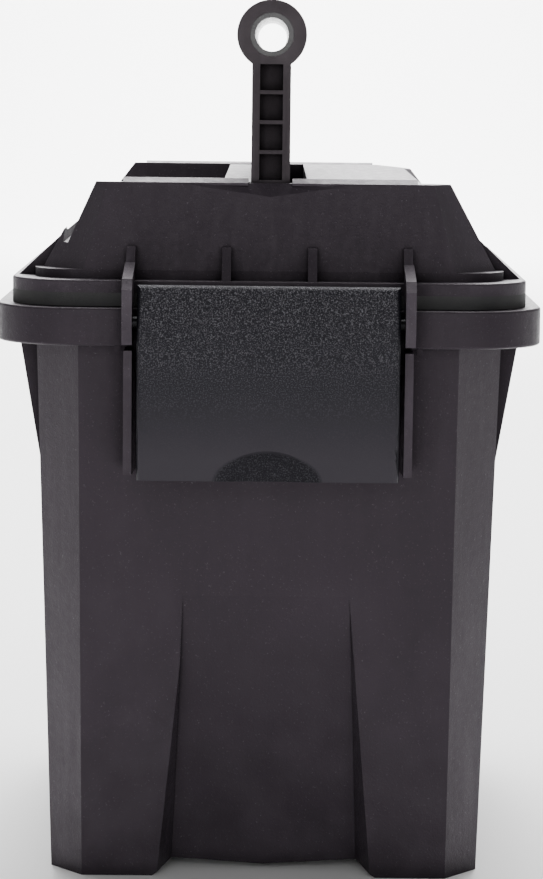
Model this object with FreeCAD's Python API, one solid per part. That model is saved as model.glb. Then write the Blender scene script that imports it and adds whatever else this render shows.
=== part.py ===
import FreeCAD, Part
import os

# Lockable bait storage box with a lift-up carrying handle, a gasketed lid and a draw latch.
# Millimetres, +Z up. The latch end faces -Y and the lid hinge is at the +Y end.
# The origin is the bottom centre of the whole box, handle upright and lid latched.

# ---- driving dimensions ----
RIM_WIDTH = 218.0
RIM_LENGTH = 290.0
RIM_RADIUS = 32.0
RIM_BOTTOM_Z = 218.5
RIM_TOP_Z = 233.5
RIM_OVERHANG = 15.2
LATCH_REACH = 19.5
HINGE_REACH = 11.5

BODY_DRAFT = 6.3
BODY_WALL = 3.0
FLOOR_TOP_Z = 8.5
FACET_TOP = (18.0, 21.0)
FACET_BOTTOM = (13.5, 15.75)

RECESS_TOP_Z = 116.5
RECESS_DEPTH = 12.0
RECESS_TOP_HALF = 33.5
RECESS_BACK_HALF = 38.0
RECESS_MOUTH_HALF = 47.0
FOOT_ARCH_HEIGHT = 5.0

GUSSET_BOTTOM_Z = 157.0
GUSSET_THICKNESS = 3.0
GUSSET_PITCH = 87.0

LID_INSET = 6.0
LID_FLANGE_BOTTOM_Z = 236.0
LID_FLANGE_TOP_Z = 244.0
LID_STEP_TOP_Z = 247.5
DECK_Z = 282.0
LID_WALL = 2.8
DECK_HALF = 60.6
END_BLOCK_BOTTOM_HALF = 91.0
END_BLOCK_TOP_HALF = 72.0
REAR_BLOCK_TOP_HALF = 64.0
DECK_FRONT_INSET = 22.0
DECK_LENGTH = 235.0
END_BLOCK_LENGTH = 14.0
FACET_LID_LOW = 17.0
FACET_LID_HIGH = 6.9
FACET_LID_REAR = 3.0
CREASE_HALF = 38.0
CREASE_DROP = 5.4
CREASE_SET_BACK = 2.2
CHAMFER_WIDTH = 11.0
CHAMFER_DROP = 1.6

SEAL_WIDTH = 6.0
SEAL_INSET = 9.0
SEAL_GAP = 0.2
SEAL_GROOVE_DEPTH = 3.0

HANDLE_PIVOT_Z = 274.0
HANDLE_REACH = 66.7
ARM_HALF_WIDTH = 7.75
ARM_THICKNESS = 9.0
ARM_FRONT_INSET = 4.8
EYE_RADIUS = 13.7
TUBE_OUTER_RADIUS = 8.7
TUBE_BORE_RADIUS = 6.7
SLEEVE_RADIUS = 14.0
TUBE_END_RECESS = 2.0
PIVOT_PIN_RADIUS = 3.0
PIVOT_BOSS_RADIUS = 6.5

POCKET_FLOOR_Z = 257.5
POCKET_OUTER_X = -82.5
POCKET_INNER_X = -19.0
POCKET_WALL = 2.5
SLOT_END_X = 15.0
GROOVE_INNER_X = 7.5
SLOT_FLOOR_Z = 265.0

FLAP_HALF_WIDTH = 51.2
FLAP_TOP_Z = 243.7
FLAP_BOTTOM_Z = 167.5
FLAP_SKIN = 2.6
FLAP_TOP_BACK_OUT = 13.6
FLAP_CROWN = 3.2
FLAP_EDGE_RADIUS = 2.2
SCOOP_HALF_WIDTH = 22.0
SCOOP_DEPTH = 5.5
SCOOP_HEIGHT = 14.0
EAR_INNER_X = 53.0
EAR_THICKNESS = 4.0
EAR_BOTTOM_Z = 220.5
LATCH_PIN_OUT = 8.5
LATCH_PIN_Z = 228.5
LATCH_PIN_RADIUS = 2.5
CLAW_PIN_OUT = 11.7
CLAW_PIN_Z = 237.3
CLAW_PIN_RADIUS = 1.75
CLAW_HALF_WIDTH = 22.0
CLAW_EYE_RADIUS = 3.6
CLAW_PLATE = 2.4
CLAW_PLATE_OUT = 2.1
CATCH_BOTTOM_Z = 208.5
CATCH_THICKNESS = 3.5
CATCH_OUT = 1.4
HOOK_BITE = 2.9
HOOK_GAP = 0.3

HINGE_PIN_RADIUS = 2.5
KNUCKLE_RADIUS = 5.5
KNUCKLE_EDGES = (-80.0, -48.0, -16.0, 16.0, 48.0, 80.0)
KNUCKLE_GAP = 0.4
HINGE_PIN_END = 82.6
HINGE_CAP_RADIUS = 4.6

RUNNING_CLEARANCE = 0.05

TRAY_BOTTOM_Z = 183.6
TRAY_TOP_Z = 227.5
TRAY_WALL = 2.0
TRAY_SIDE_GAP = 2.4
LEDGE_WIDTH = 5.0
LEDGE_HEIGHT = 4.0
DIVIDER_THICKNESS = 2.0
DIVIDER_COUNT = 2

SLOT_SIDE_GAP = 0.4
WASHER_THICKNESS = 1.0
WASHER_GAP = 0.1
FAR = 400.0

# ---- places that follow from them ----
RIM_HALF = RIM_WIDTH / 2
FRONT_Y = LATCH_REACH - (LATCH_REACH + RIM_LENGTH + HINGE_REACH) / 2
REAR_Y = FRONT_Y + RIM_LENGTH
BODY_HALF_TOP = RIM_HALF - RIM_OVERHANG
HINGE_Y = REAR_Y + HINGE_REACH - KNUCKLE_RADIUS
HINGE_Z = RIM_TOP_Z + 1.0
DECK_FRONT_Y = FRONT_Y + DECK_FRONT_INSET
DECK_REAR_Y = DECK_FRONT_Y + DECK_LENGTH
DECK_MID_Y = (DECK_FRONT_Y + DECK_REAR_Y) / 2
FRONT_ARM_Y = DECK_FRONT_Y + ARM_FRONT_INSET
REAR_ARM_Y = DECK_REAR_Y - ARM_FRONT_INSET
SLOT_WIDTH = SLOT_SIDE_GAP + ARM_THICKNESS + 2 * WASHER_GAP + WASHER_THICKNESS
GRIP_Z = HANDLE_PIVOT_Z + HANDLE_REACH


# ---- shape helpers ----
def box(x0, x1, y0, y1, z0, z1):
    corner = FreeCAD.Vector(x0, y0, z0)
    return Part.makeBox(x1 - x0, y1 - y0, z1 - z0, corner)


def rod_x(radius, x0, x1, y, z):
    return Part.makeCylinder(radius, x1 - x0, FreeCAD.Vector(x0, y, z), FreeCAD.Vector(1, 0, 0))


def rod_y(radius, x, y0, y1, z):
    return Part.makeCylinder(radius, y1 - y0, FreeCAD.Vector(x, y0, z), FreeCAD.Vector(0, 1, 0))


def closed_wire(points):
    return Part.makePolygon(points + [points[0]])


def extrude_x(outline, x0, x1):
    """Prism along X from (y, z) points."""
    face = Part.Face(closed_wire([FreeCAD.Vector(x0, y, z) for y, z in outline]))
    return face.extrude(FreeCAD.Vector(x1 - x0, 0, 0))


def extrude_y(outline, y0, y1):
    """Prism along Y from (x, z) points."""
    face = Part.Face(closed_wire([FreeCAD.Vector(x, y0, z) for x, z in outline]))
    return face.extrude(FreeCAD.Vector(0, y1 - y0, 0))


def frustum(low, z_low, high, z_high):
    """Flat-faced solid between two (x, y) outlines that have the same number of corners."""
    bottom = [FreeCAD.Vector(x, y, z_low) for x, y in low]
    top = [FreeCAD.Vector(x, y, z_high) for x, y in high]
    faces = [Part.Face(closed_wire(bottom)), Part.Face(closed_wire(top))]
    for here in range(len(low)):
        after = (here + 1) % len(low)
        corners = [bottom[here], bottom[after], top[after], top[here]]
        normal = (corners[1] - corners[0]).cross(corners[3] - corners[0]).normalize()
        if abs((corners[2] - corners[0]).dot(normal)) < 0.0001:
            faces.append(Part.Face(closed_wire(corners)))
        else:
            faces.append(Part.Face(closed_wire(corners[:3])))
            faces.append(Part.Face(closed_wire([corners[0], corners[2], corners[3]])))
    solid = Part.Solid(Part.Shell(faces))
    if solid.Volume < 0:
        solid.reverse()
    return solid


def cut_corner_outline(half, y0, y1, facet):
    """Rectangle with its four corners cut off by a facet (along X, along Y)."""
    cut_x, cut_y = facet
    return [
        (-half + cut_x, y0), (half - cut_x, y0), (half, y0 + cut_y), (half, y1 - cut_y),
        (half - cut_x, y1), (-half + cut_x, y1), (-half, y1 - cut_y), (-half, y0 + cut_y),
    ]


def round_slab(half, y0, y1, radius, z0, z1, edge=0.0):
    """Slab with round vertical corners, and with its outer edges softened if edge is given."""
    slab = box(-half, half, y0, y1, z0, z1)
    upright = [e for e in slab.Edges if abs(e.Vertexes[0].X - e.Vertexes[1].X) < 0.001
               and abs(e.Vertexes[0].Y - e.Vertexes[1].Y) < 0.001]
    slab = slab.makeFillet(radius, upright)
    if edge > 0:
        level = [e for e in slab.Edges if abs(e.BoundBox.ZMax - e.BoundBox.ZMin) < 0.001]
        slab = slab.makeFillet(edge, level)
    return slab


def out(distance):
    """Y of a point that stands this far out from the rim's front face."""
    return FRONT_Y - distance


def mirror_x(shape):
    return shape.mirror(FreeCAD.Vector(0, 0, 0), FreeCAD.Vector(1, 0, 0))


def mirror_lid_ends(shape):
    return shape.mirror(FreeCAD.Vector(0, DECK_MID_Y, 0), FreeCAD.Vector(0, 1, 0))


def tidy(shape):
    solid = shape.removeSplitter()
    if solid.ShapeType == "Compound" and len(solid.Solids) == 1:
        solid = solid.Solids[0]
    return solid


# ---- body tub ----
def body_inset(z):
    """How far the drafted wall has moved in at height z, from its place under the rim."""
    return BODY_DRAFT * (RIM_BOTTOM_Z - z) / RIM_BOTTOM_Z


def body_outline(z, extra=0.0):
    inset = body_inset(z) + extra
    share = z / RIM_BOTTOM_Z
    facet = [FACET_BOTTOM[i] + (FACET_TOP[i] - FACET_BOTTOM[i]) * share for i in (0, 1)]
    y0 = FRONT_Y + RIM_OVERHANG + inset
    y1 = REAR_Y - RIM_OVERHANG - inset
    return cut_corner_outline(BODY_HALF_TOP - inset, y0, y1, facet)


def recess_tool(margin=0.0):
    """Wedge that hollows the lower middle of the front wall, deepest at the floor."""
    mouth_y = FRONT_Y + RIM_OVERHANG - 1.0
    back_low = FRONT_Y + RIM_OVERHANG + BODY_DRAFT + RECESS_DEPTH + margin
    back_high = FRONT_Y + RIM_OVERHANG + body_inset(RECESS_TOP_Z) + margin
    low_mouth = RECESS_MOUTH_HALF + margin
    low_back = RECESS_BACK_HALF + margin
    high_half = RECESS_TOP_HALF + margin
    low = [(-low_mouth, mouth_y), (low_mouth, mouth_y), (low_back, back_low), (-low_back, back_low)]
    high = [(-high_half, mouth_y), (high_half, mouth_y), (high_half, back_high), (-high_half, back_high)]
    return frustum(low, -0.5, high, RECESS_TOP_Z + margin)


def mirror_body_ends(shape):
    middle = (FRONT_Y + REAR_Y) / 2
    return shape.mirror(FreeCAD.Vector(0, middle, 0), FreeCAD.Vector(0, 1, 0))


def body_cavity():
    low = body_outline(FLOOR_TOP_Z, BODY_WALL)
    high = body_outline(RIM_BOTTOM_Z, BODY_WALL)
    cavity = frustum(low, FLOOR_TOP_Z, high, RIM_BOTTOM_Z)
    cavity = cavity.fuse(frustum(high, RIM_BOTTOM_Z, high, RIM_TOP_Z + 1))
    keep = recess_tool(BODY_WALL)
    return cavity.cut(keep).cut(mirror_body_ends(keep))


def rim_channel():
    """Overhanging rim: a top plate with a turned-down skirt, open underneath."""
    skirt = 3.0
    plate_bottom = RIM_TOP_Z - 5.0
    rim = round_slab(RIM_HALF, FRONT_Y, REAR_Y, RIM_RADIUS, RIM_BOTTOM_Z, RIM_TOP_Z, 1.0)
    trough = round_slab(RIM_HALF - skirt, FRONT_Y + skirt, REAR_Y - skirt, RIM_RADIUS - skirt,
                        RIM_BOTTOM_Z - 1, plate_bottom)
    return rim.cut(trough)


def side_gussets():
    """Tapered ribs that carry the rim on both long sides."""
    gussets = []
    top_half = RIM_HALF - 6.5
    outline = [
        (BODY_HALF_TOP - 2, RIM_TOP_Z - 5), (top_half, RIM_TOP_Z - 5), (top_half, RIM_BOTTOM_Z),
        (BODY_HALF_TOP - body_inset(GUSSET_BOTTOM_Z), GUSSET_BOTTOM_Z),
        (BODY_HALF_TOP - body_inset(GUSSET_BOTTOM_Z) - 2, GUSSET_BOTTOM_Z),
    ]
    for step in (-1, 0, 1):
        y = (FRONT_Y + REAR_Y) / 2 + step * GUSSET_PITCH
        rib = extrude_y(outline, y - GUSSET_THICKNESS / 2, y + GUSSET_THICKNESS / 2)
        gussets += [rib, mirror_x(rib)]
    return gussets


def catch_and_lower_ears():
    """Catch ledge under the rim, between two upright ears that flank the flap, and a nub beside each ear."""
    wall_y = FRONT_Y + RIM_OVERHANG + 1
    block = box(-EAR_INNER_X - 1, EAR_INNER_X + 1, out(0), wall_y, CATCH_BOTTOM_Z, RIM_TOP_Z - 4)
    ledge_top = CATCH_BOTTOM_Z + CATCH_THICKNESS
    ledge = box(-EAR_INNER_X - 1, EAR_INNER_X + 1, out(CATCH_OUT), wall_y, CATCH_BOTTOM_Z, ledge_top)
    ear_outline = [
        (wall_y, RIM_BOTTOM_Z + 1), (out(0.2), RIM_BOTTOM_Z + 1), (out(0.2), RIM_BOTTOM_Z - 0.3),
        (out(16.5), RIM_BOTTOM_Z - 0.3), (out(17.4), RIM_BOTTOM_Z - 6), (out(15.0), FLAP_BOTTOM_Z + 2),
        (wall_y + 1.5, FLAP_BOTTOM_Z),
    ]
    ear = extrude_x(ear_outline, EAR_INNER_X, EAR_INNER_X + EAR_THICKNESS - 0.7)
    nub_x = EAR_INNER_X + EAR_THICKNESS + 1.2
    nub = box(nub_x, nub_x + 2.4, out(-0.6), out(-2.8), RIM_BOTTOM_Z - 2.2, RIM_BOTTOM_Z + 1)
    return block.fuse([ledge, ear, mirror_x(ear), nub, mirror_x(nub)])


def claw_notch():
    """Room in the rim for the claw's eyes when the flap stands open."""
    half = CLAW_HALF_WIDTH + 7.5
    floor = CATCH_BOTTOM_Z + CATCH_THICKNESS
    mouth = box(-half, half, out(2), out(-5.2), floor, RIM_TOP_Z + 1)
    return mouth.fuse(box(-half, half, out(2), out(-8.5), floor, RIM_TOP_Z - 2.5))


def hinge_knuckles(for_tub):
    """Barrels along the hinge axis. The tub has every other one, starting at the ends."""
    knuckles = []
    pairs = list(zip(KNUCKLE_EDGES[:-1], KNUCKLE_EDGES[1:]))
    for number, (x0, x1) in enumerate(pairs):
        if (number % 2 == 0) != for_tub:
            continue
        low = x0 + KNUCKLE_GAP / 2
        high = x1 - KNUCKLE_GAP / 2
        barrel = rod_x(KNUCKLE_RADIUS, low, high, HINGE_Y, HINGE_Z)
        if for_tub:
            web = box(low, high, REAR_Y - 2, HINGE_Y, HINGE_Z - KNUCKLE_RADIUS, RIM_TOP_Z - 0.5)
        else:
            web_y = REAR_Y - LID_INSET - 2
            web = box(low, high, web_y, HINGE_Y, LID_FLANGE_BOTTOM_Z, HINGE_Z + KNUCKLE_RADIUS)
        knuckles.append(barrel.fuse(web))
    return knuckles


def tray_ledges():
    """Ledge round the inside walls that the lift-out tray sits on."""
    top = TRAY_BOTTOM_Z - 0.1
    outer = body_outline(top, BODY_WALL - 1)
    inner = body_outline(top, BODY_WALL + LEDGE_WIDTH)
    ring = frustum(outer, top - LEDGE_HEIGHT, outer, top)
    return ring.cut(frustum(inner, top - LEDGE_HEIGHT - 1, inner, top + 1))


def make_body_tub():
    low = body_outline(0.0)
    high = body_outline(RIM_BOTTOM_Z)
    shell = frustum(low, 0.0, high, RIM_BOTTOM_Z)
    shell = shell.fuse(frustum(high, RIM_BOTTOM_Z, high, RIM_TOP_Z - 2))
    shell = shell.fuse([rim_channel(), catch_and_lower_ears()] + side_gussets())
    shell = shell.cut(recess_tool()).cut(mirror_body_ends(recess_tool()))
    arch = [(-RECESS_MOUTH_HALF, -1), (RECESS_MOUTH_HALF, -1), (RECESS_BACK_HALF, FOOT_ARCH_HEIGHT),
            (0, FOOT_ARCH_HEIGHT - 2.5), (-RECESS_BACK_HALF, FOOT_ARCH_HEIGHT)]
    shell = shell.cut(extrude_y(arch, FRONT_Y, REAR_Y))
    shell = shell.cut(body_cavity()).cut(claw_notch())
    shell = shell.fuse(hinge_knuckles(True) + [tray_ledges()])
    bore = rod_x(HINGE_PIN_RADIUS, -FAR, FAR, HINGE_Y, HINGE_Z)
    return tidy(shell.cut(bore))


# ---- lid ----
def lid_outer():
    """Flange, step, 45-degree middle and the two steeper end blocks."""
    flange = round_slab(RIM_HALF - LID_INSET, FRONT_Y + LID_INSET, REAR_Y - LID_INSET, RIM_RADIUS - LID_INSET,
                        LID_FLANGE_BOTTOM_Z, LID_FLANGE_TOP_Z, 0.8)
    step_inset = LID_INSET + 9.0
    step = round_slab(RIM_HALF - step_inset, FRONT_Y + step_inset, REAR_Y - step_inset,
                      RIM_RADIUS - step_inset, LID_FLANGE_TOP_Z - 1, LID_STEP_TOP_Z)
    rear_slope = REAR_Y - step_inset - DECK_REAR_Y
    front_slope = DECK_FRONT_Y - FRONT_Y - step_inset
    side_low = RIM_HALF - LID_INSET - 1.0
    side = extrude_y([(-side_low, LID_FLANGE_TOP_Z - 1), (side_low, LID_FLANGE_TOP_Z - 1),
                      (DECK_HALF, DECK_Z), (-DECK_HALF, DECK_Z)],
                     DECK_FRONT_Y + END_BLOCK_LENGTH, DECK_REAR_Y - END_BLOCK_LENGTH)
    blocks = []
    ends = (
        (DECK_FRONT_Y - front_slope, DECK_FRONT_Y + 60.0, DECK_FRONT_Y, DECK_FRONT_Y + END_BLOCK_LENGTH,
         END_BLOCK_TOP_HALF, FACET_LID_HIGH),
        (DECK_REAR_Y - 60.0, DECK_REAR_Y + rear_slope, DECK_REAR_Y - END_BLOCK_LENGTH, DECK_REAR_Y,
         REAR_BLOCK_TOP_HALF, FACET_LID_REAR),
    )
    for low_y0, low_y1, high_y0, high_y1, top_half, facet in ends:
        low = cut_corner_outline(END_BLOCK_BOTTOM_HALF, low_y0, low_y1, (FACET_LID_LOW, FACET_LID_LOW))
        high = cut_corner_outline(top_half, high_y0, high_y1, (facet, facet))
        blocks.append(frustum(low, LID_STEP_TOP_Z - 0.5, high, DECK_Z))
    return flange.fuse([step, side] + blocks)


def lid_inner():
    """Hollow under the lid, one wall thickness inside the outer faces."""
    open_half = BODY_HALF_TOP - BODY_WALL
    y0 = FRONT_Y + RIM_OVERHANG + BODY_WALL
    y1 = REAR_Y - RIM_OVERHANG - BODY_WALL
    mouth = cut_corner_outline(open_half, y0, y1, FACET_TOP)
    wall = frustum(mouth, LID_FLANGE_BOTTOM_Z - 1, mouth, LID_STEP_TOP_Z - 2)
    inset = 1.2 * LID_WALL
    low = cut_corner_outline(open_half - 0.5, y0 + 1, y1 - 1, (17.0, 17.0))
    high = cut_corner_outline(DECK_HALF - inset, DECK_FRONT_Y + inset, DECK_REAR_Y - inset, (2.0, 2.0))
    return wall.fuse(frustum(low, LID_STEP_TOP_Z - 3, high, DECK_Z - LID_WALL))


def pocket_tool(margin=0.0):
    """Trough on the left of the deck, the two arm slots, and the groove that joins them on the right."""
    y0 = FRONT_ARM_Y - SLOT_SIDE_GAP - margin
    y1 = REAR_ARM_Y + SLOT_SIDE_GAP + margin
    top = DECK_Z + 1
    trough = box(POCKET_OUTER_X - margin, POCKET_INNER_X + margin, y0, y1, POCKET_FLOOR_Z - margin, top)
    slot = box(POCKET_INNER_X - 1, SLOT_END_X + margin, y0, y0 + SLOT_WIDTH + 2 * margin,
               SLOT_FLOOR_Z - margin, top)
    groove = box(GROOVE_INNER_X - margin, SLOT_END_X + margin, y0, y1, SLOT_FLOOR_Z - margin, top)
    return trough.fuse([slot, mirror_lid_ends(slot), groove])


def lid_ears():
    """Upright ears on the lid's front that carry the latch pin."""
    outline = [
        (out(-LID_INSET - 3), LID_FLANGE_BOTTOM_Z), (out(0.6), LID_FLANGE_BOTTOM_Z), (out(0.6), EAR_BOTTOM_Z),
        (out(17.0), EAR_BOTTOM_Z), (out(18.6), EAR_BOTTOM_Z + 6), (out(18.6), LID_FLANGE_TOP_Z - 2),
        (out(15.0), LID_FLANGE_TOP_Z + 2), (out(-LID_INSET - 4), LID_FLANGE_TOP_Z + 7),
    ]
    ear = extrude_x(outline, EAR_INNER_X, EAR_INNER_X + EAR_THICKNESS)
    return [ear, mirror_x(ear)]


def face_ribs():
    """Short upright ribs on the lid's front face, above the flap."""
    outline = [
        (out(-LID_INSET + 0.0), LID_FLANGE_TOP_Z - 1), (out(-LID_INSET - 14), LID_FLANGE_TOP_Z - 1),
        (out(-LID_INSET - 14), LID_FLANGE_TOP_Z + 13), (out(-LID_INSET - 6.6), LID_FLANGE_TOP_Z + 13),
        (out(-LID_INSET - 2.0), LID_FLANGE_TOP_Z + 4),
    ]
    ribs = []
    for centre, width in ((17.0, 3.6), (EAR_INNER_X + 1.8, 3.6)):
        rib = extrude_x(outline, centre - width / 2, centre + width / 2)
        ribs += [rib, mirror_x(rib)]
    return ribs


def pivot_bosses():
    """Thick places in the end walls and beside the slots that hold the handle's pins."""
    y0 = DECK_FRONT_Y - 4.0
    y1 = FRONT_ARM_Y - SLOT_SIDE_GAP
    wall = box(-PIVOT_BOSS_RADIUS - 3, PIVOT_BOSS_RADIUS + 3, y0, y1, SLOT_FLOOR_Z, DECK_Z - 1)
    inner_y = y1 + SLOT_WIDTH
    inner = rod_y(PIVOT_BOSS_RADIUS, 0, inner_y, inner_y + 8.0, HANDLE_PIVOT_Z)
    bosses = [wall, inner]
    return bosses + [mirror_lid_ends(piece) for piece in bosses]


def deck_crowns():
    """Low sloping crown along the front edge, each side of the handle arm, and a lower one along the rear."""
    y0 = DECK_FRONT_Y + 0.3
    front = [(y0, DECK_Z - 1), (y0, DECK_Z), (y0 + 3.6, DECK_Z + 1.8), (y0 + 4.0, DECK_Z + 1.8),
             (y0 + 4.0, DECK_Z - 1)]
    y1 = DECK_REAR_Y - 0.3
    rear = [(y1, DECK_Z - 1), (y1, DECK_Z + 0.9), (y1 - 0.8, DECK_Z + 0.9), (y1 - 3.8, DECK_Z),
            (y1 - 3.8, DECK_Z - 1)]
    inner = ARM_HALF_WIDTH + 1
    outer = DECK_HALF - 2
    crowns = [extrude_x(front, -outer, -inner), extrude_x(front, inner, outer)]
    return crowns + [extrude_x(rear, -outer, outer - CHAMFER_WIDTH)]


def tetrahedron(corners):
    a, b, c, d = [FreeCAD.Vector(*corner) for corner in corners]
    faces = [Part.Face(closed_wire(side)) for side in ([a, b, c], [a, c, d], [b, d, c], [a, d, b])]
    solid = Part.Solid(Part.Shell(faces))
    if solid.Volume < 0:
        solid.reverse()
    return solid


def front_crease():
    """Shallow triangular facet at the top of the front face, with its point down."""
    lean = (DECK_FRONT_Y - FRONT_Y - LID_INSET - 9.0) / (DECK_Z - LID_STEP_TOP_Z)
    return tetrahedron([
        (-CREASE_HALF, DECK_FRONT_Y, DECK_Z), (CREASE_HALF, DECK_FRONT_Y, DECK_Z),
        (0, DECK_FRONT_Y - lean * CREASE_DROP, DECK_Z - CREASE_DROP),
        (0, DECK_FRONT_Y + CREASE_SET_BACK, DECK_Z),
    ])


def deck_side_chamfer():
    """Facet on the deck's right-hand edge that starts at the front and widens towards the rear."""
    start_y = DECK_FRONT_Y + END_BLOCK_LENGTH
    end_y = DECK_REAR_Y + 1.0
    outer_x = DECK_HALF + 5.0
    return tetrahedron([
        (DECK_HALF, start_y, DECK_Z), (DECK_HALF - CHAMFER_WIDTH, end_y, DECK_Z),
        (outer_x, end_y, DECK_Z - CHAMFER_DROP), (outer_x, end_y, DECK_Z + 4.0),
    ])


def pivot_bores():
    y0 = FRONT_ARM_Y - SLOT_SIDE_GAP - 3.2
    bore = rod_y(PIVOT_PIN_RADIUS, 0, y0, y0 + 3.2 + SLOT_WIDTH + 9.0, HANDLE_PIVOT_Z)
    return bore.fuse(mirror_lid_ends(bore))


def seal_ring(z0, z1, width):
    half = RIM_HALF - SEAL_INSET
    outer = round_slab(half + width / 2, FRONT_Y + SEAL_INSET - width / 2, REAR_Y - SEAL_INSET + width / 2,
                       RIM_RADIUS - SEAL_INSET + width / 2, z0, z1)
    inner = round_slab(half - width / 2, FRONT_Y + SEAL_INSET + width / 2, REAR_Y - SEAL_INSET - width / 2,
                       RIM_RADIUS - SEAL_INSET - width / 2, z0 - 1, z1 + 1)
    return outer.cut(inner)


def make_lid_shell():
    outer = lid_outer()
    shell = outer.cut(lid_inner())
    liner = pocket_tool(POCKET_WALL).common(outer)
    shell = shell.fuse([liner] + [piece.common(outer) for piece in pivot_bosses()])
    shell = shell.cut(front_crease()).cut(deck_side_chamfer())
    shell = shell.fuse(deck_crowns()).cut(pocket_tool())
    shell = shell.fuse(lid_ears() + face_ribs() + hinge_knuckles(False))
    groove = seal_ring(LID_FLANGE_BOTTOM_Z - 1, LID_FLANGE_BOTTOM_Z + SEAL_GROOVE_DEPTH, SEAL_WIDTH)
    latch_bore = rod_x(LATCH_PIN_RADIUS, -FAR, FAR, out(LATCH_PIN_OUT), LATCH_PIN_Z)
    hinge_bore = rod_x(HINGE_PIN_RADIUS + RUNNING_CLEARANCE, -FAR, FAR, HINGE_Y, HINGE_Z)
    return tidy(shell.cut(groove).cut(latch_bore).cut(hinge_bore).cut(pivot_bores()))


def make_rim_gasket():
    return seal_ring(RIM_TOP_Z + SEAL_GAP, LID_FLANGE_BOTTOM_Z + SEAL_GROOVE_DEPTH, SEAL_WIDTH)


# ---- lid hinge ----
def make_hinge_pin():
    return rod_x(HINGE_PIN_RADIUS, -HINGE_PIN_END, HINGE_PIN_END, HINGE_Y, HINGE_Z)


def make_hinge_pin_caps():
    start = KNUCKLE_EDGES[-1]
    cap = rod_x(HINGE_CAP_RADIUS, start, HINGE_PIN_END + 1.4, HINGE_Y, HINGE_Z)
    cap = cap.cut(rod_x(HINGE_PIN_RADIUS, start - 1, HINGE_PIN_END, HINGE_Y, HINGE_Z))
    return Part.makeCompound([cap, mirror_x(cap)])


# ---- latch ----
def flap_face(skin):
    """Face in the YZ plane behind the flap's gently crowned outer side, moved in by skin."""
    top_z = FLAP_TOP_Z - skin
    low_z = FLAP_BOTTOM_Z if skin == 0 else FLAP_BOTTOM_Z - 1
    top = FreeCAD.Vector(0, out(LATCH_REACH - FLAP_CROWN - skin), top_z)
    middle = FreeCAD.Vector(0, out(LATCH_REACH - skin), (FLAP_TOP_Z + FLAP_BOTTOM_Z) / 2 + 4)
    low = FreeCAD.Vector(0, out(LATCH_REACH - FLAP_CROWN - skin), low_z)
    back_out = FLAP_TOP_BACK_OUT if skin == 0 else 0.0
    shelf_z = LATCH_PIN_Z + 8
    low_out = LATCH_PIN_OUT if skin == 0 else 0.0
    corners = [
        low, FreeCAD.Vector(0, out(low_out), low_z), FreeCAD.Vector(0, out(low_out), shelf_z - 2),
        FreeCAD.Vector(0, out(back_out), shelf_z), FreeCAD.Vector(0, out(back_out), top_z), top,
    ]
    edges = [Part.Arc(top, middle, low).toShape()]
    edges += [Part.makeLine(first, second) for first, second in zip(corners[:-1], corners[1:])]
    return Part.Face(Part.Wire(edges))


def flap_block(skin, half):
    face = flap_face(skin)
    face.translate(FreeCAD.Vector(-half, 0, 0))
    return face.extrude(FreeCAD.Vector(2 * half, 0, 0))


def scoop_tool(half, depth, tall):
    """Ellipsoid centred just outside the middle of the flap's lower edge."""
    ball = Part.makeSphere(1.0, FreeCAD.Vector(0, 0, 0))
    stretch = FreeCAD.Matrix()
    stretch.scale(FreeCAD.Vector(half, depth, tall))
    ball = ball.transformGeometry(stretch)
    ball.translate(FreeCAD.Vector(0, out(LATCH_REACH + 0.8), FLAP_BOTTOM_Z - 0.5))
    return ball


def eye_block(radius, x0, x1, centre_out, centre_z):
    """Lug that reaches from a pin's axis out to the flap's skin."""
    eye = rod_x(radius, x0, x1, out(centre_out), centre_z)
    arm = box(x0, x1, out(LATCH_REACH - FLAP_SKIN), out(centre_out), centre_z - radius, centre_z + radius)
    return eye.fuse(arm)


def flap_side_outline():
    top = FLAP_TOP_Z - 0.2
    return [
        (out(LATCH_PIN_OUT), LATCH_PIN_Z + 6), (out(FLAP_TOP_BACK_OUT), LATCH_PIN_Z + 8),
        (out(FLAP_TOP_BACK_OUT), top), (out(LATCH_REACH - 4.6), top), (out(LATCH_REACH - 4.6), FLAP_BOTTOM_Z),
        (out(LATCH_REACH - 10.5), FLAP_BOTTOM_Z),
        (out(LATCH_PIN_OUT - 1.5), LATCH_PIN_Z - 5),
    ]


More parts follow.
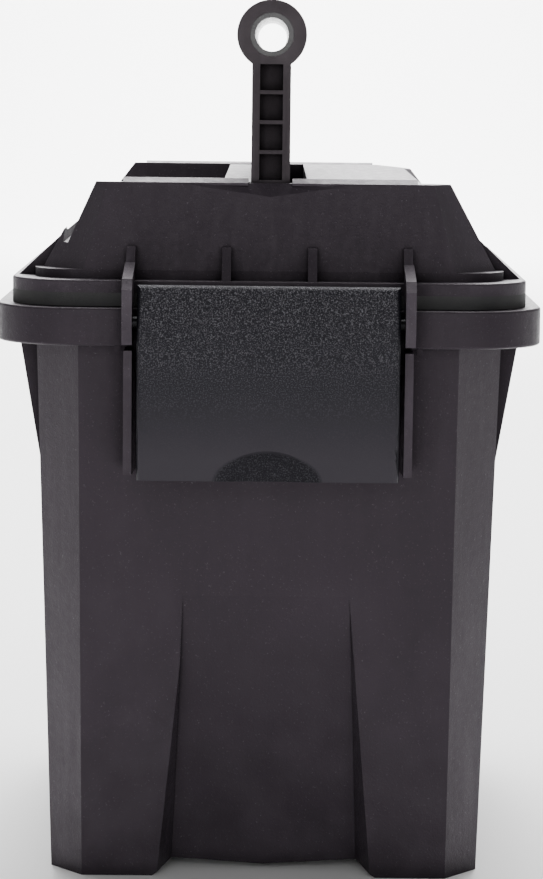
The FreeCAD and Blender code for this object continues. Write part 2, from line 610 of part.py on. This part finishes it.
def make_latch_flap():
    inner_half = FLAP_HALF_WIDTH - FLAP_SKIN
    block = flap_block(0.0, FLAP_HALF_WIDTH)
    outer_edges = [
        edge for edge in block.Edges
        if edge.BoundBox.YMax < out(LATCH_REACH - FLAP_CROWN) + 0.01 and edge.BoundBox.ZMax > FLAP_TOP_Z - 1]
    block = block.makeFillet(FLAP_EDGE_RADIUS, outer_edges)
    backing = block.common(scoop_tool(SCOOP_HALF_WIDTH + 2, SCOOP_DEPTH + 2, SCOOP_HEIGHT + 2))
    flap = block.cut(flap_block(FLAP_SKIN, inner_half)).fuse(backing)
    eye_room = CLAW_HALF_WIDTH + 0.25
    flap = flap.cut(rod_x(CLAW_EYE_RADIUS + 0.4, -eye_room, eye_room, out(CLAW_PIN_OUT), CLAW_PIN_Z))
    side = extrude_x(flap_side_outline(), inner_half, FLAP_HALF_WIDTH)
    side = side.fuse(rod_x(6.0, inner_half, FLAP_HALF_WIDTH, out(LATCH_PIN_OUT), LATCH_PIN_Z))
    claw_lug = eye_block(CLAW_EYE_RADIUS, CLAW_HALF_WIDTH + 0.5, CLAW_HALF_WIDTH + 4.5, CLAW_PIN_OUT, CLAW_PIN_Z)
    latch_lug = eye_block(5.5, 38.0, 41.0, LATCH_PIN_OUT, LATCH_PIN_Z)
    pieces = []
    for piece in (side, claw_lug, latch_lug):
        pieces += [piece, mirror_x(piece)]
    flap = flap.fuse(pieces)
    flap = flap.cut(scoop_tool(SCOOP_HALF_WIDTH, SCOOP_DEPTH, SCOOP_HEIGHT))
    flap = flap.cut(rod_x(LATCH_PIN_RADIUS + RUNNING_CLEARANCE, -FAR, FAR, out(LATCH_PIN_OUT), LATCH_PIN_Z))
    return tidy(flap.cut(rod_x(CLAW_PIN_RADIUS, -FAR, FAR, out(CLAW_PIN_OUT), CLAW_PIN_Z)))


def make_latch_pin():
    end = EAR_INNER_X + EAR_THICKNESS
    return rod_x(LATCH_PIN_RADIUS, -end, end, out(LATCH_PIN_OUT), LATCH_PIN_Z)


def make_claw_pin():
    end = CLAW_HALF_WIDTH + 4.5
    return rod_x(CLAW_PIN_RADIUS, -end, end, out(CLAW_PIN_OUT), CLAW_PIN_Z)


def make_latch_claw():
    """Cranked hook plate that hangs from the claw pin and grips the catch ledge from below."""
    hook_top = CATCH_BOTTOM_Z - HOOK_GAP
    hook_bottom = hook_top - 2.8
    plate_out = CLAW_PLATE_OUT + CLAW_PLATE
    crank_top = CLAW_PIN_Z + 1.0
    half = CLAW_HALF_WIDTH
    eye = rod_x(CLAW_EYE_RADIUS, -half, half, out(CLAW_PIN_OUT), CLAW_PIN_Z)
    crank = box(-half, half, out(CLAW_PIN_OUT), out(CLAW_PLATE_OUT), crank_top - 3.0, crank_top)
    plate = box(-half, half, out(plate_out), out(CLAW_PLATE_OUT), hook_bottom, crank_top)
    hook = box(-half, half, out(plate_out), out(CATCH_OUT - HOOK_BITE), hook_bottom, hook_top)
    claw = eye.fuse([crank, plate, hook])
    bore = rod_x(CLAW_PIN_RADIUS + RUNNING_CLEARANCE, -FAR, FAR, out(CLAW_PIN_OUT), CLAW_PIN_Z)
    return tidy(claw.cut(bore))


# ---- handle ----
def make_front_arm():
    """Flat arm with a ring at the top, cored by four pockets in its outer face."""
    y0 = FRONT_ARM_Y
    y1 = y0 + ARM_THICKNESS
    arm = box(-ARM_HALF_WIDTH, ARM_HALF_WIDTH, y0, y1, HANDLE_PIVOT_Z, GRIP_Z - 6)
    arm = arm.fuse([rod_y(ARM_HALF_WIDTH, 0, y0, y1, HANDLE_PIVOT_Z), rod_y(EYE_RADIUS, 0, y0, y1, GRIP_Z)])
    pocket_half = 4.6
    pocket_depth = 6.0
    rib = 1.5
    pocket_bottom = DECK_Z + 1.1
    pocket_top = GRIP_Z - EYE_RADIUS + 2.0
    pocket_count = 4
    pitch = (pocket_top - pocket_bottom + rib) / pocket_count
    for number in range(pocket_count):
        z0 = pocket_bottom + number * pitch
        arm = arm.cut(box(-pocket_half, pocket_half, y0 - 1, y0 + pocket_depth, z0, z0 + pitch - rib))
    arm = arm.cut(rod_y(TUBE_OUTER_RADIUS, 0, y0 - 1, y1 + 1, GRIP_Z))
    pivot_bore = rod_y(PIVOT_PIN_RADIUS + RUNNING_CLEARANCE, 0, y0 - 1, y1 + 1, HANDLE_PIVOT_Z)
    return tidy(arm.cut(pivot_bore))


def make_grip_tube():
    y0 = FRONT_ARM_Y + TUBE_END_RECESS
    y1 = REAR_ARM_Y - TUBE_END_RECESS
    tube = rod_y(TUBE_OUTER_RADIUS, 0, y0, y1, GRIP_Z)
    return tube.cut(rod_y(TUBE_BORE_RADIUS, 0, y0 - 1, y1 + 1, GRIP_Z))


def make_grip_sleeve():
    y0 = FRONT_ARM_Y + ARM_THICKNESS
    y1 = REAR_ARM_Y - ARM_THICKNESS
    sleeve = rod_y(SLEEVE_RADIUS, 0, y0, y1, GRIP_Z)
    ends = [e for e in sleeve.Edges if e.Curve.TypeId == "Part::GeomCircle"]
    sleeve = sleeve.makeFillet(0.8, ends)
    return sleeve.cut(rod_y(TUBE_OUTER_RADIUS, 0, y0 - 1, y1 + 1, GRIP_Z))


def make_front_pivot_pin():
    y0 = FRONT_ARM_Y - SLOT_SIDE_GAP - 3.0
    return rod_y(PIVOT_PIN_RADIUS, 0, y0, y0 + 3.0 + SLOT_WIDTH + 8.0, HANDLE_PIVOT_Z)


def make_pivot_washers():
    y0 = FRONT_ARM_Y + ARM_THICKNESS + WASHER_GAP
    washer = rod_y(PIVOT_BOSS_RADIUS, 0, y0, y0 + WASHER_THICKNESS, HANDLE_PIVOT_Z)
    washer = washer.cut(rod_y(PIVOT_PIN_RADIUS + RUNNING_CLEARANCE, 0, y0 - 1, y0 + 2, HANDLE_PIVOT_Z))
    return Part.makeCompound([washer, mirror_lid_ends(washer)])


# ---- lift-out tray ----
def tray_outline(gap):
    return body_outline(TRAY_BOTTOM_Z, BODY_WALL + gap)


def divider_places():
    y0 = tray_outline(TRAY_SIDE_GAP)[0][1]
    y1 = tray_outline(TRAY_SIDE_GAP)[4][1]
    step = (y1 - y0) / (DIVIDER_COUNT + 1)
    return [y0 + step * (number + 1) for number in range(DIVIDER_COUNT)]


def make_bait_tray():
    outer = tray_outline(TRAY_SIDE_GAP)
    inner = tray_outline(TRAY_SIDE_GAP + TRAY_WALL)
    tray = frustum(outer, TRAY_BOTTOM_Z, outer, TRAY_TOP_Z)
    tray = tray.cut(frustum(inner, TRAY_BOTTOM_Z + TRAY_WALL, inner, TRAY_TOP_Z + 1))
    wall_x = BODY_HALF_TOP - body_inset(TRAY_BOTTOM_Z) - BODY_WALL - TRAY_SIDE_GAP - TRAY_WALL
    guide = 1.6
    slot_half = DIVIDER_THICKNESS / 2 + 0.15
    guides = []
    for y in divider_places():
        for low in (y - slot_half - guide, y + slot_half):
            rib = box(wall_x - 2.5, wall_x + 1, low, low + guide, TRAY_BOTTOM_Z + 1, TRAY_TOP_Z - 3)
            guides += [rib, mirror_x(rib)]
    return tidy(tray.fuse(guides))


def make_tray_dividers():
    half = BODY_HALF_TOP - body_inset(TRAY_BOTTOM_Z) - BODY_WALL - TRAY_SIDE_GAP - TRAY_WALL - 0.3
    low = TRAY_BOTTOM_Z + TRAY_WALL + 0.05
    plates = []
    for y in divider_places():
        y0 = y - DIVIDER_THICKNESS / 2
        plates.append(box(-half, half, y0, y0 + DIVIDER_THICKNESS, low, TRAY_TOP_Z - 4))
    return Part.makeCompound(plates)


# ---- export ----
def main():
    os.makedirs("parts", exist_ok=True)
    front_arm = make_front_arm()
    front_pin = make_front_pivot_pin()
    nodes = {
        "body_tub": make_body_tub(),
        "bait_tray": make_bait_tray(),
        "tray_dividers": make_tray_dividers(),
        "lid_shell": make_lid_shell(),
        "rim_gasket": make_rim_gasket(),
        "hinge_pin": make_hinge_pin(),
        "hinge_pin_caps": make_hinge_pin_caps(),
        "latch_flap": make_latch_flap(),
        "latch_pin": make_latch_pin(),
        "latch_claw": make_latch_claw(),
        "claw_pin": make_claw_pin(),
        "front_handle_arm": front_arm,
        "rear_handle_arm": mirror_lid_ends(front_arm),
        "grip_tube": make_grip_tube(),
        "grip_sleeve": make_grip_sleeve(),
        "front_pivot_pin": front_pin,
        "rear_pivot_pin": mirror_lid_ends(front_pin),
        "pivot_washers": make_pivot_washers(),
    }
    for name, shape in nodes.items():
        shape.exportStep("parts/" + name + ".step")
        state = "valid" if shape.isValid() else "INVALID"
        print(name, len(shape.Solids), "solids,", state, round(shape.Volume / 1000, 1), "cm3")


main()
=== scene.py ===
import math

import bpy
from mathutils import Euler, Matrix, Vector

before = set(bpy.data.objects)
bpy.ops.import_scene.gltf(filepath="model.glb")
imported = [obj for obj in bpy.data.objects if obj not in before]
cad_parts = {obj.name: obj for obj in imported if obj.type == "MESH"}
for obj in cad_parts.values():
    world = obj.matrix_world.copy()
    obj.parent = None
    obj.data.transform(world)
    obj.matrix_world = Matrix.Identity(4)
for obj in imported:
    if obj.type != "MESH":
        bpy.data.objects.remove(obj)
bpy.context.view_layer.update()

MM = 0.001

# Sheens are the plastics' reflection tints. Flap heights are metres above the floor, low to high.
# The scoop's arch is half width, height and foot height.
# A reach is how far off a surface still darkens a recess with painted shade.
PURPLE_SHEEN = (0.80, 0.70, 0.79)
BLUE_SHEEN = (0.72, 0.70, 0.80)
# Below the first flap span the grain is rubbed smoother and the painted glints fade out.
FLAP_WEAR_AND_GLINT_FADE = (0.192, 0.242)
# Below the second flap span painted light makes the flap lighter towards the bottom.
FLAP_PAINTED_LOW_LIGHT = (0.176, 0.204)
SCOOP_ARCH = (22.0 * MM, 13.0 * MM, 0.1665)
GRIP_RING_PITCH = 6.0 * MM
RECESS_REACH = 14.0 * MM
RECESS_SHADE = 0.25
FLAP_RECESS_REACH = 30.0 * MM
OCCLUSION_SAMPLES = 8

BEVEL_SEGMENTS = 3
BEVEL_ANGLE = math.radians(24)

# The stage runs from front to back along Y and curves up behind the object.
STAGE_FRONT = -8.0
STAGE_BACK = 5.0
STAGE_HALF_WIDTH = 7.0
STAGE_HEIGHT = 2.6
STAGE_CURVE_RADIUS = 0.6
STAGE_CURVE_STEPS = 12
PAPER_WHITE = 0.93
PAPER_ROUGHNESS = 0.85

# The lens and sensor are in millimetres, the angles in degrees.
CAMERA_PLACE = (0.0015, -1.371, 0.3315)
CAMERA_LENS = 128.8
CAMERA_SENSOR = 36.0
CAMERA_TILT_DOWN = 6.92
CAMERA_ROLL = 0.62
AMBIENT_STRENGTH = 0.16


# ---- node helpers ----
class Graph:
    """Short names for building one material's nodes."""

    def __init__(self, name):
        self.material = bpy.data.materials.new(name)
        self.material.use_nodes = True
        self.tree = self.material.node_tree
        self.shader = self.tree.nodes["Principled BSDF"]
        self.place = self.add("ShaderNodeTexCoord").outputs["Object"]

    def add(self, kind, **values):
        node = self.tree.nodes.new(kind)
        for key, value in values.items():
            setattr(node, key, value)
        return node

    def link(self, source, target):
        self.tree.links.new(source, target)

    def noise(self, scale, detail=3.0, roughness=0.5, place=None):
        node = self.add("ShaderNodeTexNoise")
        node.inputs["Scale"].default_value = scale
        node.inputs["Detail"].default_value = detail
        node.inputs["Roughness"].default_value = roughness
        self.link(place or self.place, node.inputs["Vector"])
        return node.outputs["Fac"]

    def along(self, axis):
        """The place along one axis, "X", "Y" or "Z", in metres."""
        node = self.add("ShaderNodeSeparateXYZ")
        self.link(self.place, node.inputs["Vector"])
        return node.outputs[axis]

    def stretched(self, factors):
        """The place scaled along each axis. Noise read from it is long where the factor is small."""
        node = self.add("ShaderNodeMapping")
        node.inputs["Scale"].default_value = factors
        self.link(self.place, node.inputs["Vector"])
        return node.outputs["Vector"]

    def half_ellipse(self, half_width, height, foot_z):
        """1 inside an arch that stands on foot_z and is centred on X = 0."""
        across = self.maths("DIVIDE", self.along("X"), half_width)
        up = self.maths("DIVIDE", self.maths("SUBTRACT", self.along("Z"), foot_z), height)
        square = self.maths("ADD", self.maths("MULTIPLY", across, across), self.maths("MULTIPLY", up, up))
        return self.remap(square, 0.82, 1.0, 1.0, 0.0)

    def openness(self, reach):
        """1 on open faces and less where other surfaces lie within reach."""
        node = self.add("ShaderNodeAmbientOcclusion", samples=OCCLUSION_SAMPLES)
        node.inputs["Distance"].default_value = reach
        return node.outputs["AO"]

    def remap(self, source, low, high, out_low, out_high):
        node = self.add("ShaderNodeMapRange")
        node.inputs["From Min"].default_value = low
        node.inputs["From Max"].default_value = high
        node.inputs["To Min"].default_value = out_low
        node.inputs["To Max"].default_value = out_high
        self.link(source, node.inputs["Value"])
        return node.outputs["Result"]

    def maths(self, operation, first, second):
        node = self.add("ShaderNodeMath", operation=operation)
        for socket, value in zip(node.inputs, (first, second)):
            if isinstance(value, (int, float)):
                socket.default_value = value
            else:
                self.link(value, socket)
        return node.outputs["Value"]

    def mix(self, amount, first, second):
        """Colour mix. The node's sockets 6 and 7 are its two colours, and output 2 is the mixed one."""
        node = self.add("ShaderNodeMix", data_type="RGBA")
        self.link(amount, node.inputs["Factor"])
        for socket, value in ((node.inputs[6], first), (node.inputs[7], second)):
            if isinstance(value, tuple):
                socket.default_value = (*value, 1.0)
            else:
                self.link(value, socket)
        return node.outputs[2]

    def bump(self, height, distance, before=None):
        node = self.add("ShaderNodeBump")
        node.inputs["Distance"].default_value = distance
        node.inputs["Strength"].default_value = 1.0
        self.link(height, node.inputs["Height"])
        if before is not None:
            self.link(before, node.inputs["Normal"])
        return node.outputs["Normal"]

    def finish(self, colour, rough, normal):
        self.link(colour, self.shader.inputs["Base Color"])
        self.link(rough, self.shader.inputs["Roughness"])
        self.link(normal, self.shader.inputs["Normal"])
        return self.material


def grained_plastic(name, colour, rough, grain=1100.0, depth=0.09 * MM, specks=0.5, wear=0.3,
                    sheen=PURPLE_SHEEN, cloud=0.12):
    """Moulded plastic with a fine grain, pale specks, upright scuffs, rubbed edges and painted shade in
    recesses, which also lose shine.
    """
    g = Graph(name)
    g.shader.inputs["Specular Tint"].default_value = (*sheen, 1.0)
    fine = g.noise(grain, 4.0, 0.65)
    coarse = g.noise(grain * 0.33, 2.0)
    blotch = g.noise(14.0, 3.0)
    pale = tuple(min(1.0, c * 3.0 + 0.030) for c in colour)
    dark = tuple(c * (1.0 - cloud) for c in colour)
    light = tuple(c * (1.0 + cloud) for c in colour)
    base = g.mix(g.remap(blotch, 0.3, 0.7, 0.0, 1.0), dark, light)
    speck = g.remap(fine, 0.62, 0.78, 0.0, specks)
    base = g.mix(speck, base, pale)
    edge = g.add("ShaderNodeNewGeometry").outputs["Pointiness"]
    patchy = g.remap(g.noise(60.0), 0.35, 0.65, 0.2, 1.0)
    rubbed = g.maths("MULTIPLY", g.remap(edge, 0.52, 0.60, 0.0, wear), patchy)
    base = g.mix(rubbed, base, pale)
    # Painted shade: faces near other surfaces, in recesses and under the rim, are painted darker and lose
    # shine.
    open_air = g.remap(g.openness(RECESS_REACH), 0.25, 0.80, 0.0, 1.0)
    base = g.mix(open_air, tuple(c * RECESS_SHADE for c in colour), base)
    g.link(g.remap(open_air, 0.0, 1.0, 0.04, 0.29), g.shader.inputs["Specular IOR Level"])
    scuff = g.noise(1.0, 2.0, 0.6, g.stretched((260.0, 260.0, 22.0)))
    rough_out = g.maths("ADD", g.remap(scuff, 0.45, 0.75, rough, rough - 0.10),
                        g.remap(coarse, 0.3, 0.7, -0.05, 0.05))
    height = g.maths("ADD", fine, g.maths("MULTIPLY", coarse, 0.6))
    normal = g.bump(height, depth)
    return g.finish(base, rough_out, normal)


def flap_plastic():
    """Coarse sparkling grain with painted glints near the top that fades to a rubbed, smooth surface lower
    down, which painted light makes lighter towards the bottom.

    The fading and the painted light go by height alone, the recesses get painted shade, and the scoop is
    darkened with painted shade by an arch-shaped mask.
    """
    g = Graph("flap_plastic")
    g.shader.inputs["Specular Tint"].default_value = (*BLUE_SHEEN, 1.0)
    grain = g.noise(1900.0, 2.0, 0.7)
    scoop = g.half_ellipse(*SCOOP_ARCH)
    # Painted glints: bright grain specks painted into the colour near the top stand in for light on the
    # grain; the grain's bump fades with them.
    crisp_and_glint_by_height = g.remap(g.along("Z"), *FLAP_WEAR_AND_GLINT_FADE, 0.08, 1.0)
    crisp_and_glint = g.maths("MAXIMUM", crisp_and_glint_by_height, g.maths("MULTIPLY", scoop, 0.25))
    glint = g.maths("MULTIPLY", g.remap(grain, 0.50, 0.68, 0.0, 1.0), crisp_and_glint)
    base = g.mix(glint, (0.0030, 0.0028, 0.0040), (0.150, 0.147, 0.162))
    # Painted shade: recesses lose shine and are painted darker, and the scoop loses shine and gets none of
    # the painted light below.
    open_air = g.remap(g.openness(FLAP_RECESS_REACH), 0.80, 0.99, 0.0, 1.0)
    shine = g.maths("MULTIPLY", open_air, g.remap(scoop, 0.0, 1.0, 1.0, 0.45))
    g.link(g.remap(shine, 0.0, 1.0, 0.10, 0.34), g.shader.inputs["Specular IOR Level"])
    # Painted light: the lower part is painted lighter towards the bottom, away from the recesses and the
    # scoop, plus faint random wear.
    painted_low_light = g.maths("MULTIPLY", open_air, g.remap(g.along("Z"), *FLAP_PAINTED_LOW_LIGHT, 0.75, 0.0))
    painted_low_light = g.maths("MULTIPLY", painted_low_light, g.maths("SUBTRACT", 1.0, scoop))
    painted_light_and_wear = g.maths("ADD", painted_low_light, g.remap(g.noise(40.0, 3.0), 0.4, 0.7, 0.0, 0.06))
    base = g.mix(painted_light_and_wear, base, (0.030, 0.026, 0.031))
    # Painted shade in the recesses.
    base = g.mix(open_air, (0.006, 0.006, 0.008), base)
    rough = g.maths("SUBTRACT", 0.46, g.maths("MULTIPLY", glint, 0.16))
    return g.finish(base, rough, g.bump(g.maths("MULTIPLY", grain, crisp_and_glint), 0.45 * MM))


def grip_plastic():
    """Grip sleeve with shallow finger rings round it, painted shade and dust between them and a fine grain.
    """
    g = Graph("grip_plastic")
    g.shader.inputs["Specular Tint"].default_value = (*PURPLE_SHEEN, 1.0)
    rings = g.maths("SINE", g.maths("MULTIPLY", g.along("Y"), 2.0 * math.pi / GRIP_RING_PITCH), 0.0)
    crests = g.remap(rings, -0.4, 0.4, 0.0, 1.0)
    grain = g.noise(1300.0, 3.0, 0.6)
    dust = g.remap(g.noise(55.0, 4.0), 0.35, 0.7, 0.0, 0.8)
    # Painted shade: the grooves between the rings are darker than the crests, and dust lightens them in
    # patches.
    groove_dust_and_shade = g.mix(dust, (0.008, 0.007, 0.0075), (0.034, 0.031, 0.031))
    crest = g.mix(g.remap(grain, 0.5, 0.75, 0.0, 0.7), (0.021, 0.0175, 0.0188), (0.070, 0.064, 0.066))
    base = g.mix(crests, groove_dust_and_shade, crest)
    rough = g.maths("SUBTRACT", 0.56, g.maths("MULTIPLY", crests, 0.14))
    relief = g.bump(crests, 0.7 * MM)
    return g.finish(base, rough, g.bump(grain, 0.08 * MM, before=relief))


def smooth_plastic(name, colour, rough):
    """Polished plastic with faint draw lines along Y and a little dust."""
    g = Graph(name)
    lines = g.noise(1.0, 2.0, 0.5, g.stretched((900.0, 30.0, 900.0)))
    dust = g.noise(420.0, 4.0)
    base = g.mix(g.remap(dust, 0.58, 0.75, 0.0, 0.35), colour, tuple(c * 2.0 + 0.02 for c in colour))
    rough_out = g.remap(dust, 0.3, 0.8, rough - 0.05, rough + 0.14)
    return g.finish(base, rough_out, g.bump(lines, 0.03 * MM))


def seal_rubber():
    """Matt rubber with a pale, cloudy bloom."""
    g = Graph("seal_rubber")
    fine = g.noise(1500.0, 2.0)
    bloom = g.noise(70.0, 4.0)
    base = g.mix(g.remap(bloom, 0.4, 0.75, 0.0, 1.0), (0.012, 0.012, 0.013), (0.035, 0.034, 0.034))
    return g.finish(base, g.remap(bloom, 0.3, 0.7, 0.62, 0.8), g.bump(fine, 0.05 * MM))


def pin_steel(name, colour, tarnished):
    """Ground steel with fine lines along X and cloudy tarnish."""
    g = Graph(name)
    g.shader.inputs["Metallic"].default_value = 1.0
    lines = g.noise(1.0, 3.0, 0.6, g.stretched((60.0, 2600.0, 2600.0)))
    tarnish = g.noise(90.0, 4.0)
    base = g.mix(g.remap(tarnish, 0.4, 0.7, 0.0, 1.0), colour, tarnished)
    return g.finish(base, g.remap(tarnish, 0.3, 0.7, 0.25, 0.45), g.bump(lines, 0.02 * MM))


MATERIALS = {
    "tub": grained_plastic("tub_plastic", (0.0235, 0.0188, 0.0240), 0.48, specks=1.0, depth=0.14 * MM),
    "lid": grained_plastic("lid_plastic", (0.0310, 0.0255, 0.0318), 0.50, specks=1.0, depth=0.14 * MM),
    "flap": flap_plastic(),
    "grip": grip_plastic(),
    "latch": grained_plastic("latch_plastic", (0.0052, 0.0048, 0.0065), 0.42, 900.0, 0.20 * MM, 1.0, 0.5,
                             BLUE_SHEEN, 0.03),
    "handle": grained_plastic("handle_plastic", (0.022, 0.0185, 0.0198), 0.42, 1300.0, 0.07 * MM, 0.4, 0.4),
    "tube": smooth_plastic("tube_plastic", (0.022, 0.020, 0.022), 0.22),
    "tray": grained_plastic("tray_plastic", (0.11, 0.11, 0.12), 0.55, 1400.0, 0.05 * MM, 0.2, 0.2),
    "washer": smooth_plastic("washer_plastic", (0.50, 0.49, 0.45), 0.42),
    "seal": seal_rubber(),
    "pin": pin_steel("pin_steel", (0.52, 0.51, 0.50), (0.36, 0.34, 0.32)),
    "dark_pin": pin_steel("blackened_pin", (0.030, 0.030, 0.032), (0.016, 0.016, 0.017)),
}

NODE_MATERIALS = {
    "body_tub": "tub", "bait_tray": "tray", "tray_dividers": "tray", "lid_shell": "lid", "rim_gasket": "seal",
    "hinge_pin": "pin", "hinge_pin_caps": "latch", "latch_flap": "flap", "latch_pin": "dark_pin",
    "latch_claw": "latch", "claw_pin": "dark_pin", "front_handle_arm": "handle", "rear_handle_arm": "handle",
    "grip_tube": "tube", "grip_sleeve": "grip", "front_pivot_pin": "pin", "rear_pivot_pin": "pin",
    "pivot_washers": "washer",
}

# Millimetres. The grip sleeve has no rounding.
EDGE_ROUNDING = {
    "body_tub": 1.0, "lid_shell": 1.0, "latch_flap": 0.8, "front_handle_arm": 0.6, "rear_handle_arm": 0.6,
    "bait_tray": 0.5, "tray_dividers": 0.4, "latch_claw": 0.4, "hinge_pin_caps": 0.5, "hinge_pin": 0.4,
    "latch_pin": 0.4, "claw_pin": 0.3, "grip_tube": 0.3, "front_pivot_pin": 0.4, "rear_pivot_pin": 0.4,
    "pivot_washers": 0.15, "rim_gasket": 1.0,
}


def dress_cad_nodes():
    """Gives every CAD node its material and softens the sharp edges of those in EDGE_ROUNDING."""
    for name, key in NODE_MATERIALS.items():
        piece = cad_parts[name]
        for place in piece.material_slots:
            place.material = MATERIALS[key]
        if name in EDGE_ROUNDING:
            bevel = piece.modifiers.new("soft_edges", "BEVEL")
            bevel.width = EDGE_ROUNDING[name] * MM
            bevel.segments = BEVEL_SEGMENTS
            bevel.limit_method = "ANGLE"
            bevel.angle_limit = BEVEL_ANGLE
            bevel.use_clamp_overlap = True
            bevel.harden_normals = False


dress_cad_nodes()


# ---- stage, lights and camera ----
def plain_material(name, colour):
    material = bpy.data.materials.new(name)
    material.use_nodes = True
    shader = material.node_tree.nodes["Principled BSDF"]
    shader.inputs["Base Color"].default_value = (*colour, 1.0)
    shader.inputs["Roughness"].default_value = PAPER_ROUGHNESS
    return material


def make_stage():
    """Pale floor that curves up into a backdrop."""
    radius = STAGE_CURVE_RADIUS
    curve_start = STAGE_BACK - radius
    profile = [(STAGE_FRONT, 0.0), (curve_start, 0.0)]
    for step in range(1, STAGE_CURVE_STEPS + 1):
        angle = math.pi / 2 * step / STAGE_CURVE_STEPS
        profile.append((curve_start + radius * math.sin(angle), radius - radius * math.cos(angle)))
    profile.append((STAGE_BACK, STAGE_HEIGHT))
    points = [(x, y, z) for x in (-STAGE_HALF_WIDTH, STAGE_HALF_WIDTH) for y, z in profile]
    count = len(profile)
    faces = [(i, i + 1, count + i + 1, count + i) for i in range(count - 1)]
    mesh = bpy.data.meshes.new("studio_floor")
    mesh.from_pydata(points, [], faces)
    floor = bpy.data.objects.new("studio_floor", mesh)
    bpy.context.scene.collection.objects.link(floor)
    for face in mesh.polygons:
        face.use_smooth = True
    mesh.materials.append(plain_material("floor_paper", (PAPER_WHITE, PAPER_WHITE, PAPER_WHITE)))


def area_light(name, place, target, size, power):
    """A white rectangular light at place, aimed at target. Metres and watts."""
    data = bpy.data.lights.new(name, "AREA")
    data.shape = "RECTANGLE"
    data.size, data.size_y = size
    data.energy = power
    light = bpy.data.objects.new(name, data)
    bpy.context.scene.collection.objects.link(light)
    light.location = place
    direction = Vector(target) - Vector(place)
    light.rotation_euler = direction.to_track_quat("-Z", "Y").to_euler()


def make_lights():
    """Bright backdrop and far floor, large lights above and in front, and two dim ones at the sides."""
    middle = (0.0, 0.0, 0.16)
    area_light("top_softbox", (0.0, 0.60, 1.4), (0.0, 0.15, 0.2), (1.2, 1.1), 54.0)
    area_light("left_softbox", (-1.0, 0.10, 0.55), middle, (0.30, 0.9), 0.7)
    area_light("right_softbox", (1.0, 0.10, 0.55), middle, (0.30, 0.9), 1.0)
    area_light("front_fill", (-0.1, -2.1, 0.60), (0.0, 0.0, 0.12), (1.5, 1.0), 15.5)
    area_light("floor_wash", (0.0, 2.6, 1.9), (0.0, 2.8, 0.0), (1.4, 2.4), 220.0)
    area_light("backdrop_wash", (0.0, 4.0, 1.6), (0.0, 5.0, 0.3), (1.8, 0.4), 150.0)
    world = bpy.data.worlds.new("studio")
    bpy.context.scene.world = world
    world.use_nodes = True
    background = world.node_tree.nodes["Background"]
    background.inputs["Color"].default_value = (1.0, 1.0, 1.0, 1.0)
    background.inputs["Strength"].default_value = AMBIENT_STRENGTH


def make_camera():
    """Level with the handle, looking slightly down at the latch end."""
    data = bpy.data.cameras.new("camera")
    data.sensor_width = CAMERA_SENSOR
    data.lens = CAMERA_LENS
    camera = bpy.data.objects.new("camera", data)
    bpy.context.scene.collection.objects.link(camera)
    camera.location = CAMERA_PLACE
    camera.rotation_euler = Euler((math.radians(90.0 - CAMERA_TILT_DOWN), 0.0, 0.0))
    camera.rotation_euler.rotate_axis("Z", math.radians(CAMERA_ROLL))
    bpy.context.scene.camera = camera


make_stage()
make_lights()
make_camera()
